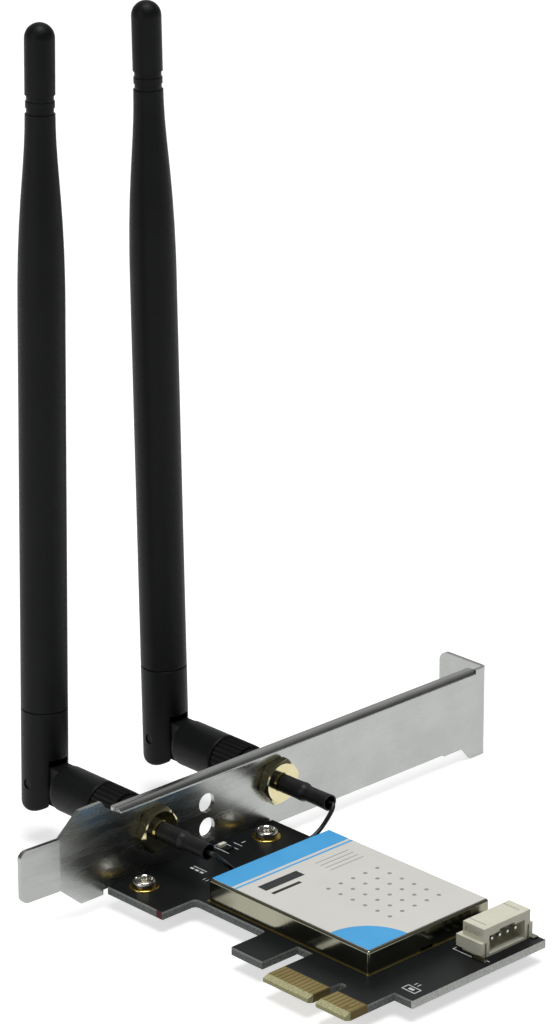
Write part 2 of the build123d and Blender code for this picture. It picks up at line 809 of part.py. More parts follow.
def antenna_pieces(side, x, lean):
    """The knurled coupling, the plug and elbow behind it, and the whip on its tilting knuckle."""
    tilt = radians(lean)
    pivot = Vector(x, plate_y + pivot_out, jack_z)
    across = Vector(cos(tilt), 0, -sin(tilt))
    upward = Vector(sin(tilt), 0, cos(tilt))
    axial = Plane(origin=(x, plate_y, jack_z), x_dir=(0, 1, 0), z_dir=(1, 0, 0))
    square = Plane(origin=(x, plate_y, jack_z), x_dir=across, z_dir=(0, 1, 0))
    knuckle = Plane(origin=pivot, x_dir=across, z_dir=upward)
    hinge = Plane(origin=pivot, x_dir=(0, 1, 0), z_dir=across)
    stem = Plane(origin=pivot, x_dir=upward, z_dir=-across)
    nut_end = parting_out - apart_gap / 2
    elbow_start = parting_out + apart_gap / 2

    with BuildPart() as coupling_nut:
        with BuildSketch(square.offset(knurl_start)):
            Circle(knurl_root)
            with PolarLocations(knurl_root, knurl_count):
                RegularPolygon(knurl_rise, 4)
        extrude(amount=nut_end - knurl_start)
        with BuildSketch(square.offset(collar_start)):
            Circle(collar_radius)
        extrude(amount=knurl_start - collar_start)
        with BuildSketch(square.offset(collar_start)):
            Circle(jack_barrel + running_gap)
        extrude(amount=coupling_wall - collar_start, mode=Mode.SUBTRACT)
        with BuildSketch(square.offset(coupling_wall)):
            Circle(plug_neck + running_gap)
        extrude(amount=nut_end - coupling_wall, mode=Mode.SUBTRACT)
    save(coupling_nut, f"coupling_nut_{side}")

    flange_end = coupling_wall - apart_gap
    tube_out = jack_bore - running_gap
    tube_in = tube_out - plug_tube_wall
    with BuildPart() as plug_body:
        turned(axial, [
            (plug_tube_in, tube_in),
            (plug_tube_in, tube_out),
            (flange_end - plug_flange_thick, tube_out),
            (flange_end - plug_flange_thick, plug_flange),
            (flange_end, plug_flange),
            (flange_end, plug_neck),
            (plug_depth, plug_neck),
            (plug_depth, tube_in),
        ])
    save(plug_body, f"plug_body_{side}")

    with BuildPart() as plug_core:
        turned(axial, [
            (flange_end, plug_contact),
            (flange_end, tube_in),
            (plug_depth, tube_in),
            (plug_depth, plug_contact),
        ])
    save(plug_core, f"plug_core_{side}")

    with BuildPart() as plug_socket:
        with BuildSketch(square.offset(plug_tube_in)):
            Circle(plug_contact)
        extrude(amount=plug_depth - plug_tube_in)
        with BuildSketch(square.offset(plug_tube_in)):
            Circle(jack_pin + pin_gap)
        extrude(amount=jack_pin_out - plug_tube_in + apart_gap, mode=Mode.SUBTRACT)
    save(plug_socket, f"plug_socket_{side}")

    # The barrel stops where the lugs swing, and an ear that is round about the hinge goes on between them
    shoulder = lug_radius + apart_gap
    ear_root = shoulder + shoulder_round
    with BuildPart() as elbow:
        with BuildSketch(axial):
            with BuildLine():
                rims = FilletPolyline(
                    (elbow_start, 0),
                    (elbow_start, elbow_radius),
                    (pivot_out - shoulder, elbow_radius),
                    (pivot_out - shoulder, 0),
                    radius=[elbow_round, shoulder_round],
                )
                Line(rims @ 1, rims @ 0)
            make_face()
        revolve(axis=Axis(axial.origin, axial.x_dir))
        with BuildSketch(hinge):
            Circle(ear_radius)
            with Locations((-ear_root / 2, 0)):
                Rectangle(ear_root, 2 * ear_radius)
        extrude(amount=ear_half, both=True)
        with BuildSketch(hinge):
            Circle(hinge_pin + pin_gap)
        extrude(amount=2 * ear_half, both=True, mode=Mode.SUBTRACT)
        with BuildSketch(square.offset(elbow_start)):
            Circle(plug_neck + touch_gap)
        extrude(amount=plug_depth - elbow_start, mode=Mode.SUBTRACT)
    save(elbow, f"elbow_{side}")

    crotch = elbow_radius + crotch_room
    fork = ear_half + ear_gap
    with BuildPart() as hinge_housing:
        with BuildSketch(knuckle.offset(-lug_radius)):
            Circle(housing_radius)
        extrude(amount=lug_radius + housing_height)
        chamfer(hinge_housing.faces().sort_by(Axis(pivot, upward))[-1].edges(), seam_chamfer)
        # Lugs are round about the hinge, and the fork between them clears the ear through its swing
        with BuildSketch(hinge):
            with Locations((0, -lug_radius)):
                Rectangle(4 * housing_radius, 2 * lug_radius)
            Circle(lug_radius, mode=Mode.SUBTRACT)
        extrude(amount=2 * housing_radius, both=True, mode=Mode.SUBTRACT)
        fillet(hinge_housing.faces().sort_by(Axis(pivot, upward))[0].edges(), lug_round)
        with BuildSketch(hinge):
            Circle(crotch)
            with Locations((-housing_radius, 0)):
                Rectangle(2 * housing_radius, 2 * crotch)
            with Locations((0, -lug_radius)):
                Rectangle(4 * housing_radius, 2 * lug_radius)
        extrude(amount=fork, both=True, mode=Mode.SUBTRACT)
        with BuildSketch(hinge):
            Circle(hinge_pin)
        extrude(amount=2 * housing_radius, both=True, mode=Mode.SUBTRACT)
        with BuildSketch(knuckle.offset(housing_height)):
            Circle(spigot_radius)
        extrude(amount=spigot_height)
    save(hinge_housing, f"hinge_housing_{side}")

    with BuildPart() as hinge_bolt:
        with BuildSketch(hinge):
            Circle(hinge_pin)
        extrude(amount=housing_radius - hinge_recess, both=True)
    save(hinge_bolt, f"hinge_bolt_{side}")

    groove_one = neck_height + groove_width
    bead_end = groove_one + bead_width
    groove_two = bead_end + groove_width
    dome_height = groove_two + cap_length
    bore = spigot_radius + touch_gap
    bore_end = whip_wire_height + whip_wire_room
    with BuildPart() as whip_sheath:
        with BuildSketch(stem):
            with BuildLine():
                base = Polyline(
                    (bore_end, 0),
                    (bore_end, bore),
                    (housing_height, bore),
                    (housing_height, housing_radius - seam_chamfer),
                    (housing_height + seam_chamfer, housing_radius),
                    (shoulder_height, shoulder_radius),
                )
                Bezier(
                    (shoulder_height, shoulder_radius),
                    (shoulder_height + shoulder_ease, shoulder_radius),
                    (neck_height - neck_ease, cap_radius),
                    (neck_height, cap_radius),
                )
                crown = Polyline(
                    (neck_height, cap_radius),
                    (neck_height, cap_radius - groove_depth),
                    (groove_one, cap_radius - groove_depth),
                    (groove_one, bead_radius),
                    (bead_end, bead_radius),
                    (bead_end, cap_radius - groove_depth),
                    (groove_two, cap_radius - groove_depth),
                    (groove_two, cap_radius),
                    (dome_height, cap_radius),
                )
                RadiusArc(crown @ 1, (dome_height + cap_radius, 0), cap_radius)
                Line((dome_height + cap_radius, 0), base @ 0)
            make_face()
        revolve(axis=Axis(stem.origin, stem.x_dir))
    save(whip_sheath, f"whip_sheath_{side}")

    foot = housing_height + spigot_height
    with BuildPart() as radiator:
        with BuildSketch(knuckle.offset(foot)):
            Circle(radiator_radius)
        extrude(amount=radiator_height - foot)
        with BuildSketch(knuckle.offset(radiator_height)):
            Circle(whip_wire)
        extrude(amount=whip_wire_height - radiator_height)
    save(radiator, f"radiator_{side}")


jack_xs = (jack_x, jack_x + jack_pitch)
port_z = module_top + port_base_height + touch_gap + pigtail_rise
drop_y = plate_y - pigtail_drop
back_y = plate_y - pigtail_back
tail_start = plate_y - jack_hex_thick - jack_boss_long - crimp_post_long - touch_gap
port_end = port_y + plug_cap_radius + touch_gap
routes = {
    "left": [
        (jack_xs[0], tail_start, jack_z),
        (jack_xs[0], drop_y, jack_z),
        (port_xs[0], back_y, port_z),
        (port_xs[0], port_end, port_z),
    ],
    "right": [
        (jack_xs[1], tail_start, jack_z),
        (jack_xs[1], drop_y, jack_z),
        (port_xs[1] + pigtail_step, back_y, port_z),
        (port_xs[1], back_y, port_z),
        (port_xs[1], port_end, port_z),
    ],
}
bends = {
    "left": [pigtail_radius_mouth, pigtail_radius_foot],
    "right": [pigtail_radius_mouth, pigtail_radius_foot, pigtail_radius_wall],
}
sides = {"left": (jack_xs[0], hex_turn_left, lean_left), "right": (jack_xs[1], hex_turn_right, lean_right)}
for side, (x, hex_turn, lean) in sides.items():
    jack_pieces(side, x, hex_turn)
    pigtail_pieces(side, routes[side], bends[side])
    antenna_pieces(side, x, lean)
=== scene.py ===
import json
import math

import bmesh
import bpy
from mathutils import Matrix, Vector


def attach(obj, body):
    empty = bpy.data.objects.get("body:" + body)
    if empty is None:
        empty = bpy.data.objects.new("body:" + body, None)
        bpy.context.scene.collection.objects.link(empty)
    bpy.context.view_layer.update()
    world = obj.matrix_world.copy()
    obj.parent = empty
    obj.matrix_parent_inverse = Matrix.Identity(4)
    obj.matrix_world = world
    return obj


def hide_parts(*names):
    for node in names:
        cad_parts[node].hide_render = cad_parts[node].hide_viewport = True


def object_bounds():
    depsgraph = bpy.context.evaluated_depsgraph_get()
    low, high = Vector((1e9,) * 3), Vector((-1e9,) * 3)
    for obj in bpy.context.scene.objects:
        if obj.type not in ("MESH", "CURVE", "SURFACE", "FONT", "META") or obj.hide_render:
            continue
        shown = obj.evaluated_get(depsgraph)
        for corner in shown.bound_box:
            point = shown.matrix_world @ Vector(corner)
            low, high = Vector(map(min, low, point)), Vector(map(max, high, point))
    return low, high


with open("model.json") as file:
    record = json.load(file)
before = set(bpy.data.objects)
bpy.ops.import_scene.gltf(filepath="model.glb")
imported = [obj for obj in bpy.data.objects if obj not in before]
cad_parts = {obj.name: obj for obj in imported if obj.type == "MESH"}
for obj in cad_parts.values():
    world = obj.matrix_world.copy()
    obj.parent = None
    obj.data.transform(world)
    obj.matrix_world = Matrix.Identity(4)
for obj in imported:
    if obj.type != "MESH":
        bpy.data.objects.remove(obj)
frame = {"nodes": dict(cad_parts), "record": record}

nodes = frame["nodes"]
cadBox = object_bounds()
mm = 0.001
slots = {part["node"]: part["material_slot"] for part in frame["record"]["subparts"]}


def linear(hexCode):
    parts = [int(hexCode[i:i + 2], 16) / 255 for i in (1, 3, 5)]
    return tuple(c / 12.92 if c <= 0.04045 else ((c + 0.055) / 1.055) ** 2.4 for c in parts) + (1.0,)


# Adds one node: plain values, links into it, and the stops of a ramp
def put(tree, kind, values=None, links=None, stops=(), **settings):
    node = tree.nodes.new(kind)
    for key, value in settings.items():
        setattr(node, key, value)
    for key, value in (values or {}).items():
        node.inputs[key].default_value = value
    for key, socket in (links or {}).items():
        tree.links.new(socket, node.inputs[key])
    for i, (at, colour) in enumerate(stops):
        element = node.color_ramp.elements[i] if i < 2 else node.color_ramp.elements.new(at)
        element.position = at
        element.color = linear(colour) if isinstance(colour, str) else (colour, colour, colour, 1.0)
    return node


def startMaterial(name, sockets):
    mat = bpy.data.materials.new(name)
    mat.use_nodes = True
    tree = mat.node_tree
    shader = tree.nodes["Principled BSDF"]
    for key, value in sockets.items():
        shader.inputs[key].default_value = linear(value) if isinstance(value, str) else value
    return mat, tree, shader, put(tree, "ShaderNodeTexCoord").outputs


# One finish made of two noises: a cloud in the colour, a grain in the gloss and the relief
def grainedFinish(name, sockets, colours, roughs, cloudSize, grainSize, relief, stretch=(1.0, 1.0, 1.0)):
    mat, tree, shader, coords = startMaterial(name, sockets)
    along = put(tree, "ShaderNodeMapping", {"Scale": stretch},
                {"Vector": coords["Object"]}).outputs["Vector"]
    cloud = put(tree, "ShaderNodeTexNoise", {"Scale": 1 / (cloudSize * mm), "Detail": 3.0},
                {"Vector": coords["Object"]})
    grain = put(tree, "ShaderNodeTexNoise", {"Scale": 1 / (grainSize * mm), "Detail": 3.0},
                {"Vector": along})
    colour = put(tree, "ShaderNodeValToRGB", links={"Fac": cloud.outputs["Fac"]},
                 stops=[(0.35, colours[0]), (0.65, colours[1])])
    rough = put(tree, "ShaderNodeValToRGB", links={"Fac": grain.outputs["Fac"]},
                stops=[(0.3, roughs[0]), (0.7, roughs[1])])
    bump = put(tree, "ShaderNodeBump", {"Strength": 1.0, "Distance": relief * mm},
               {"Height": grain.outputs["Fac"]})
    tree.links.new(colour.outputs["Color"], shader.inputs["Base Color"])
    tree.links.new(rough.outputs["Color"], shader.inputs["Roughness"])
    tree.links.new(bump.outputs["Normal"], shader.inputs["Normal"])
    return mat


# FR-4 laminate under a screened black mask: satin near-black faces, cut edges speckled with glass ends,
# bare olive laminate between the contacts and a paler milled bevel at their ends. The top band of each cut
# edge is painted paler as a painted highlight, and the front cut edges are painted near white as painted
# light from the bright floor
def maskedLaminate():
    tongue = {"contactEnd": 5.3, "bevelEnd": 1.28, "sideEnd": 13.0, "paintedHighlightFrom": 0.38, "frontEdge": -12.2}
    stain = {"xEnd": 4.3, "yStart": 42.8, "yEnd": 44.3}  # dark red ink on the wing's cut edge
    mat, tree, shader, coords = startMaterial("screenedMask", {"Specular IOR Level": 0.22})
    x, y, z = put(tree, "ShaderNodeSeparateXYZ", links={"Vector": coords["Object"]}).outputs
    upright = put(tree, "ShaderNodeSeparateXYZ", links={"Vector": coords["Normal"]}).outputs["Z"]
    flat = put(tree, "ShaderNodeMath", links={0: upright}, operation="ABSOLUTE").outputs[0]
    edge = put(tree, "ShaderNodeMath", {1: 0.8}, {0: flat}, operation="LESS_THAN").outputs[0]
    near = put(tree, "ShaderNodeMath", {1: tongue["sideEnd"] * mm}, {0: y},
               operation="LESS_THAN").outputs[0]
    bare = put(tree, "ShaderNodeMath", {1: tongue["contactEnd"] * mm}, {0: x},
               operation="LESS_THAN").outputs[0]
    bare = put(tree, "ShaderNodeMath", links={0: bare, 1: near}, operation="MULTIPLY").outputs[0]
    milled = put(tree, "ShaderNodeMath", {1: tongue["bevelEnd"] * mm}, {0: x},
                 operation="LESS_THAN").outputs[0]
    milled = put(tree, "ShaderNodeMath", links={0: milled, 1: near}, operation="MULTIPLY").outputs[0]
    inked = put(tree, "ShaderNodeMath", {1: stain["xEnd"] * mm}, {0: x}, operation="LESS_THAN").outputs[0]
    after = put(tree, "ShaderNodeMath", {1: stain["yStart"] * mm}, {0: y},
                operation="GREATER_THAN").outputs[0]
    before = put(tree, "ShaderNodeMath", {1: stain["yEnd"] * mm}, {0: y}, operation="LESS_THAN").outputs[0]
    for limit in (after, before, edge):
        inked = put(tree, "ShaderNodeMath", links={0: inked, 1: limit}, operation="MULTIPLY").outputs[0]
    # Painted highlight: the top band of every cut edge is painted paler than the rest of the edge
    rim = put(tree, "ShaderNodeMath", {1: tongue["paintedHighlightFrom"] * mm}, {0: z},
              operation="GREATER_THAN").outputs[0]
    rim = put(tree, "ShaderNodeMath", links={0: rim, 1: edge}, operation="MULTIPLY").outputs[0]
    # Painted light: the front cut edges are painted near white for the light the bright floor throws on
    # them; they are the same laminate as the other cut edges
    frontPaintedLight = put(tree, "ShaderNodeMath", {1: tongue["frontEdge"] * mm}, {0: y},
                operation="LESS_THAN").outputs[0]
    frontPaintedLight = put(tree, "ShaderNodeMath", links={0: frontPaintedLight, 1: edge}, operation="MULTIPLY").outputs[0]
    cloud = put(tree, "ShaderNodeTexNoise", {"Scale": 1 / (6 * mm), "Detail": 3.0},
                {"Vector": coords["Object"]})
    glass = put(tree, "ShaderNodeTexNoise", {"Scale": 1 / (0.2 * mm), "Detail": 2.0},
                {"Vector": coords["Object"]})
    orangePeel = put(tree, "ShaderNodeTexNoise", {"Scale": 1 / (0.9 * mm), "Detail": 2.0},
                     {"Vector": coords["Object"]})
    layers = [
        (edge, glass, [(0.35, "#4d5251"), (0.5, "#646967"), (0.68, "#868a86")]),
        # painted highlight along the top band of the cut edges
        (rim, glass, [(0.35, "#70756f"), (0.5, "#8d918d"), (0.68, "#a8aca7")]),
        # painted light on the front cut edges
        (frontPaintedLight, glass, [(0.35, "#bcbfba"), (0.5, "#d3d5d0"), (0.68, "#e4e6e1")]),
        (bare, cloud, [(0.3, "#665730"), (0.7, "#75653c")]),
        (milled, glass, [(0.35, "#8d8b63"), (0.5, "#a4a27a"), (0.66, "#bcba95")]),
        (inked, glass, [(0.3, "#35151a"), (0.7, "#5a262c")]),
    ]
    colour = put(tree, "ShaderNodeValToRGB", links={"Fac": cloud.outputs["Fac"]},
                 stops=[(0.3, "#0f1112"), (0.7, "#141718")]).outputs["Color"]
    for share, pattern, stops in layers:
        coat = put(tree, "ShaderNodeValToRGB", links={"Fac": pattern.outputs["Fac"]}, stops=stops)
        colour = put(tree, "ShaderNodeMix", links={0: share, 6: colour, 7: coat.outputs["Color"]},
                     data_type="RGBA").outputs[2]
    tree.links.new(colour, shader.inputs["Base Color"])
    rough = put(tree, "ShaderNodeMath", {1: 0.3, 2: 0.36}, {0: edge}, operation="MULTIPLY_ADD")
    tree.links.new(rough.outputs[0], shader.inputs["Roughness"])
    bump = put(tree, "ShaderNodeBump", {"Strength": 1.0, "Distance": 0.008 * mm},
               {"Height": orangePeel.outputs["Fac"]})
    tree.links.new(bump.outputs["Normal"], shader.inputs["Normal"])
    return mat


# Wide-grained noises below are drawn a few times coarser than the real skin, so that they show in a render
finishes = {
    "board": maskedLaminate(),
    # Hard gold over nickel, plated: warm dull sheen, thin enough to look olive
    "gold_plating": grainedFinish("platedGold", {"Metallic": 1.0}, ("#a8975e", "#b7a66d"),
                                  (0.3, 0.42), 5, 0.6, 0.004),
    # Nickel on rolled steel sheet: a grey mirror, slightly streaked along the strip and not quite flat
    "bracket_steel": grainedFinish("nickelSheet", {"Metallic": 1.0}, ("#a4a6a3", "#aeb0ad"),
                                   (0.22, 0.3), 12, 9, 0.02, (1.0, 8.0, 8.0)),
    # Nickel on cold-headed steel: bright lobes round the recess
    "screw_steel": grainedFinish("nickelScrew", {"Metallic": 1.0}, ("#cfcdc6", "#dad8d1"),
                                 (0.14, 0.22), 3, 0.7, 0.004),
    # Tinned sheet, stamped: a warm wavy mirror
    "shield_tin": grainedFinish("tinnedSheet", {"Metallic": 1.0}, ("#8b8a77", "#969583"),
                                (0.13, 0.19), 8, 7, 0.06),
    # Polyester label stock: off-white, satin
    "label_film": grainedFinish("labelFilm", {"Specular IOR Level": 0.3}, ("#d0cec8", "#d3d1cb"),
                                (0.4, 0.5), 9, 2, 0.003),
    # Glass-filled polymer, moulded: dull black
    "socket_plastic": grainedFinish("socketPolymer", {"Specular IOR Level": 0.3}, ("#121213", "#171718"),
                                    (0.45, 0.6), 3, 0.4, 0.01),
    # Brass, turned: yellow, fine tool rings
    "brass": grainedFinish("turnedBrass", {"Metallic": 1.0}, ("#b09050", "#bf9f5c"),
                           (0.24, 0.36), 3, 0.6, 0.005),
    # Nylon, moulded: ivory, soft sheen
    "header_plastic": grainedFinish("mouldedNylon", {"Specular IOR Level": 0.35}, ("#ceccba", "#d4d2c1"),
                                    (0.42, 0.55), 3, 0.5, 0.006),
    # Tinned brass pins, drawn: bright and smooth
    "pin_tin": grainedFinish("tinnedPin", {"Metallic": 1.0}, ("#c0c0ba", "#cbcbc5"),
                             (0.16, 0.26), 2, 0.4, 0.003),
    # Cast resin lens: milky
    "lamp_lens": grainedFinish("castResin", {"Specular IOR Level": 0.5}, ("#dddbcd", "#e6e4d8"),
                               (0.15, 0.25), 1, 0.4, 0.003),
    # Fired chip body: black with a fine grit
    "chip_black": grainedFinish("chipBody", {"Specular IOR Level": 0.4}, ("#111112", "#181819"),
                                (0.3, 0.45), 1, 0.2, 0.004),
    # Thin gold on turned brass: pale yellow mirror
    "jack_gold": grainedFinish("paleGold", {"Metallic": 1.0}, ("#cac197", "#d3caa4"),
                               (0.09, 0.15), 4, 0.8, 0.004),
    # Fluoropolymer rod, turned: white and waxy
    "dielectric": grainedFinish("turnedFluoropolymer", {"Specular IOR Level": 0.3}, ("#e2e2de", "#e9e9e6"),
                                (0.35, 0.45), 2, 0.5, 0.004),
    # Polyolefin tube, shrunk on: black, leathery
    "sleeve_black": grainedFinish("shrunkTube", {"Specular IOR Level": 0.28}, ("#111113", "#171719"),
                                  (0.36, 0.5), 2, 0.8, 0.03),
    # Extruded jacket: black and glossy
    "cable_black": grainedFinish("extrudedJacket", {"Specular IOR Level": 0.4}, ("#0c0c0d", "#111112"),
                                 (0.28, 0.38), 3, 1.2, 0.004),
    # ABS, moulded with a fine spark-eroded skin: near-black, wide soft sheen
    "antenna_black": grainedFinish("mouldedAbs", {"Specular IOR Level": 0.14}, ("#0d0e0f", "#121314"),
                                   (0.4, 0.54), 14, 0.5, 0.006),
}
# Inks, screened on the label and the board: flat fields with a faint mottle
inks = {
    "blueInk": grainedFinish("blueInk", {"Specular IOR Level": 0.3}, ("#439fd8", "#48a5de"),
                             (0.38, 0.48), 6, 1, 0.002),
    "greyInk": grainedFinish("greyInk", {"Specular IOR Level": 0.3}, ("#8d8c8a", "#979694"),
                             (0.4, 0.5), 4, 1, 0.002),
    "darkInk": grainedFinish("darkInk", {"Specular IOR Level": 0.3}, ("#262628", "#2e2e30"),
                             (0.38, 0.48), 4, 1, 0.002),
    "whiteInk": grainedFinish("whiteInk", {"Specular IOR Level": 0.25}, ("#b9bcbc", "#cfd2d2"),
                              (0.5, 0.6), 0.6, 0.3, 0.004),
}
# Blackened steel hinge pins: dark, with a dull shine
blackened = grainedFinish("blackenedSteel", {"Metallic": 1.0}, ("#1b1b1c", "#252526"),
                          (0.35, 0.5), 2, 0.5, 0.004)
# Gold pads wetted smooth in reflow: a brighter yellow than the contacts
wetted = grainedFinish("wettedGold", {"Metallic": 1.0}, ("#c0a75a", "#cdb56a"),
                       (0.16, 0.26), 2, 0.5, 0.004)
special = {"hinge_bolt_left": blackened, "hinge_bolt_right": blackened, "screw_pads": wetted}
for name, slot in slots.items():
    nodes[name].data.materials.clear()
    nodes[name].data.materials.append(special.get(name, finishes[slot]))
print("finishes:", len(finishes) + len(inks))


# Links a finished bmesh as a piece that rides on a body
def addPiece(name, shape, body, finish):
    mesh = bpy.data.meshes.new(name)
    shape.to_mesh(mesh)
    shape.free()
    mesh.materials.append(finish)
    piece = bpy.data.objects.new(name, mesh)
    bpy.context.scene.collection.objects.link(piece)
    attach(piece, body)
    return piece


# Shrink tubes over the crimps: a thick front part, a pinch where the ferrule ends, then the cable
jacks = {"left": 15.8, "right": 46.49}
jackHeight = 8.675
plateY = 57.85
sleeve = {
    "outer": [(2.5, 1.70), (3.0, 1.74), (5.2, 1.72), (6.8, 1.76), (7.8, 1.86), (8.3, 1.80), (8.7, 1.60),
              (9.4, 1.52), (11.7, 1.52), (13.8, 1.56), (14.6, 1.60), (14.75, 1.58)],
    "inner": [(14.75, 1.32), (8.9, 1.25), (7.9, 1.45), (2.5, 1.45)],
    "steps": 40, "lumps": 0.035, "pitch": 3.1, "bore": 1.5, "sharp": 50,
}
for side, x in jacks.items():
    shape = bmesh.new()
    outline = [shape.verts.new((x * mm, (plateY - back) * mm, (jackHeight + radius) * mm))
               for back, radius in sleeve["outer"] + sleeve["inner"]]
    rim = [shape.edges.new((outline[i - 1], outline[i])) for i in range(len(outline))]
    axis = Vector((x * mm, 0, jackHeight * mm))
    bmesh.ops.spin(shape, geom=outline + rim, cent=axis, axis=(0, 1, 0), angle=math.tau,
                   steps=sleeve["steps"], use_merge=True)
    bmesh.ops.remove_doubles(shape, verts=shape.verts, dist=0.001 * mm)
    bmesh.ops.recalc_face_normals(shape, faces=shape.faces)
    for vert in shape.verts:
        out = Vector((vert.co.x, 0, vert.co.z)) - axis
        turn = math.atan2(out.z, out.x)
        phase = vert.co.y / (sleeve["pitch"] * mm)
        wave = math.sin(2 * turn + phase) + 0.5 * math.sin(3 * turn - 1.7 * phase)
        if out.length > sleeve["bore"] * mm:  # the bore stays round
            vert.co += out.normalized() * wave * sleeve["lumps"] * mm
    for face in shape.faces:
        face.smooth = True
    piece = addPiece("shrink_tube_" + side, shape, "card", finishes["sleeve_black"])
    piece.data.set_sharp_from_angle(angle=math.radians(sleeve["sharp"]))
    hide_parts("heat_sleeve_" + side)
print("shrink tubes:", len(jacks))

# Jack bodies: a hex chamfered on both faces and turned as each one sits, with the barrel before it
# and the crimp post behind
jackBody = {
    "hex": 4.0, "face": 3.75, "slope": 0.46, "thick": 2.1, "turn": {"left": 5.0, "right": 8.0},
    "steps": 120, "corner": 6.0, "margin": 1.0, "sharp": 20,
    "outline": [(-11.7, 2.3), (-11.7, 2.85), (-11.45, 3.1), (0.0, 3.1), (0.0, 3.75), (0.0, 6.0),
                (2.1, 6.0), (2.1, 3.75), (2.1, 1.95), (2.4, 1.95), (2.4, 1.15), (6.7, 1.15),
                (6.7, 0.65), (-1.0, 0.65), (-1.0, 2.3)],
}
for side, x in jacks.items():
    shape = bmesh.new()
    axis = Vector((x * mm, 0, jackHeight * mm))
    start = math.radians(jackBody["turn"][side])
    outline = [shape.verts.new(((x + radius * math.cos(start)) * mm, (plateY - back) * mm,
                                (jackHeight + radius * math.sin(start)) * mm))
               for back, radius in jackBody["outline"]]
    rim = [shape.edges.new((outline[i - 1], outline[i])) for i in range(len(outline))]
    bmesh.ops.spin(shape, geom=outline + rim, cent=axis, axis=(0, 1, 0), angle=math.tau,
                   steps=jackBody["steps"], use_merge=True)
    bmesh.ops.remove_doubles(shape, verts=shape.verts, dist=0.001 * mm)
    for vert in shape.verts:
        out = Vector((vert.co.x, 0, vert.co.z)) - axis
        if out.length > (jackBody["corner"] - jackBody["margin"]) * mm:  # the outer ring becomes six flats
            turn = (math.degrees(math.atan2(out.z, out.x)) - jackBody["turn"][side]) % 60
            reach = jackBody["hex"] / math.cos(math.radians(turn - 30))
            cut = (reach - jackBody["face"]) * jackBody["slope"]
            back = jackBody["thick"] - cut if vert.co.y < (plateY - jackBody["margin"]) * mm else cut
            vert.co = axis + out.normalized() * reach * mm + Vector((0, (plateY - back) * mm, 0))
    bmesh.ops.recalc_face_normals(shape, faces=shape.faces)
    for face in shape.faces:
        face.smooth = True
    piece = addPiece("jack_shell_" + side, shape, "card", finishes["jack_gold"])
    piece.data.set_sharp_from_angle(angle=math.radians(jackBody["sharp"]))
    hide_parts("jack_body_" + side)
print("jack bodies:", len(jacks))

# Coax tails: the route's points, with one more where each leaves its tube and enters the can
tails = {
    "radius": 0.43,
    "left": [(15.8, 51.13, 8.675), (15.8, 43.4, 8.675), (15.8, 41.55, 8.675), (20.85, 41.65, 3.805),
             (20.85, 40.7, 3.805), (20.85, 33.25, 3.805)],
    "right": [(46.49, 51.13, 8.675), (46.49, 43.4, 8.675), (46.49, 41.55, 8.675), (41.55, 41.65, 3.805),
              (35.85, 41.65, 3.805), (35.85, 40.7, 3.805), (35.85, 33.25, 3.805)],
}
for side in jacks:
    line = bpy.data.curves.new("coax_tail_" + side, "CURVE")
    line.dimensions = "3D"
    line.bevel_depth = tails["radius"] * mm
    line.bevel_resolution = 5
    line.resolution_u = 16
    line.use_fill_caps = True
    spline = line.splines.new("NURBS")
    spline.points.add(len(tails[side]) - 1)
    for point, place in zip(spline.points, tails[side]):
        point.co = tuple(c * mm for c in place) + (1.0,)
    spline.order_u = 3
    spline.use_endpoint_u = True
    line.materials.append(finishes["cable_black"])
    piece = bpy.data.objects.new("coax_tail_" + side, line)
    bpy.context.scene.collection.objects.link(piece)
    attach(piece, "card")
    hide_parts("pigtail_" + side)
print("coax tails:", len(jacks))


# Pan heads with a pressed cross recess, on their shanks: the profile is spun, then the recess is pushed in
screw = {
    "spots": [(8.8, 52.85), (39.4, 52.85)], "foot": 1.065, "radius": 2.12, "high": 1.5, "round": 0.5,
    "crown": 0.22, "under": 0.3, "shank": 1.25, "below": 3.31, "rings": 24, "steps": 96,
    "turn": math.radians(45), "armLong": 1.6, "armWide": 0.5, "deep": 0.95,
    "endSlope": 3.0, "sideSlope": 2.5, "rise": 0.35, "sharp": 35,
}
shape = bmesh.new()
flat = screw["radius"] - screw["round"]
profile = [(flat * i / screw["rings"], screw["high"] - screw["crown"] * (i / screw["rings"]) ** 2)
           for i in range(screw["rings"] + 1)]
shoulder = screw["high"] - screw["crown"] - screw["round"]
profile += [(flat + screw["round"] * math.sin(math.radians(a)),
             shoulder + screw["round"] * math.cos(math.radians(a)))
            for a in range(15, 91, 15)]
profile += [(screw["radius"], screw["under"]), (screw["radius"] - screw["under"], 0.0),
            (screw["shank"], 0.0), (screw["shank"], -screw["below"] + screw["under"]),
            (screw["shank"] - screw["under"], -screw["below"]), (0.0, -screw["below"])]
for x, y in screw["spots"]:
    outline = [shape.verts.new(((x + radius) * mm, y * mm, (screw["foot"] + level) * mm))
               for radius, level in profile]
    rim = [shape.edges.new((outline[i], outline[i + 1])) for i in range(len(outline) - 1)]
    bmesh.ops.spin(shape, geom=outline + rim, cent=(x * mm, y * mm, 0), axis=(0, 0, 1), angle=math.tau,
                   steps=screw["steps"], use_merge=True)
bmesh.ops.remove_doubles(shape, verts=shape.verts, dist=0.001 * mm)
bmesh.ops.recalc_face_normals(shape, faces=shape.faces)
for vert in shape.verts:
    x, y = min(screw["spots"], key=lambda spot: abs(vert.co.x / mm - spot[0]))
    across = Matrix.Rotation(screw["turn"], 2) @ Vector((vert.co.x / mm - x, vert.co.y / mm - y))
    major, minor = sorted((abs(across.x), abs(across.y)), reverse=True)
    if (vert.co.z > (screw["foot"] + shoulder) * mm
            and major < screw["armLong"] and minor < screw["armWide"]):
        along, aside = major / screw["armLong"], minor / screw["armWide"]
        slope = min(1.0, screw["endSlope"] * (1 - along), screw["sideSlope"] * (1 - aside))
        vert.co.z -= screw["deep"] * slope * (1 - screw["rise"] * along) * mm
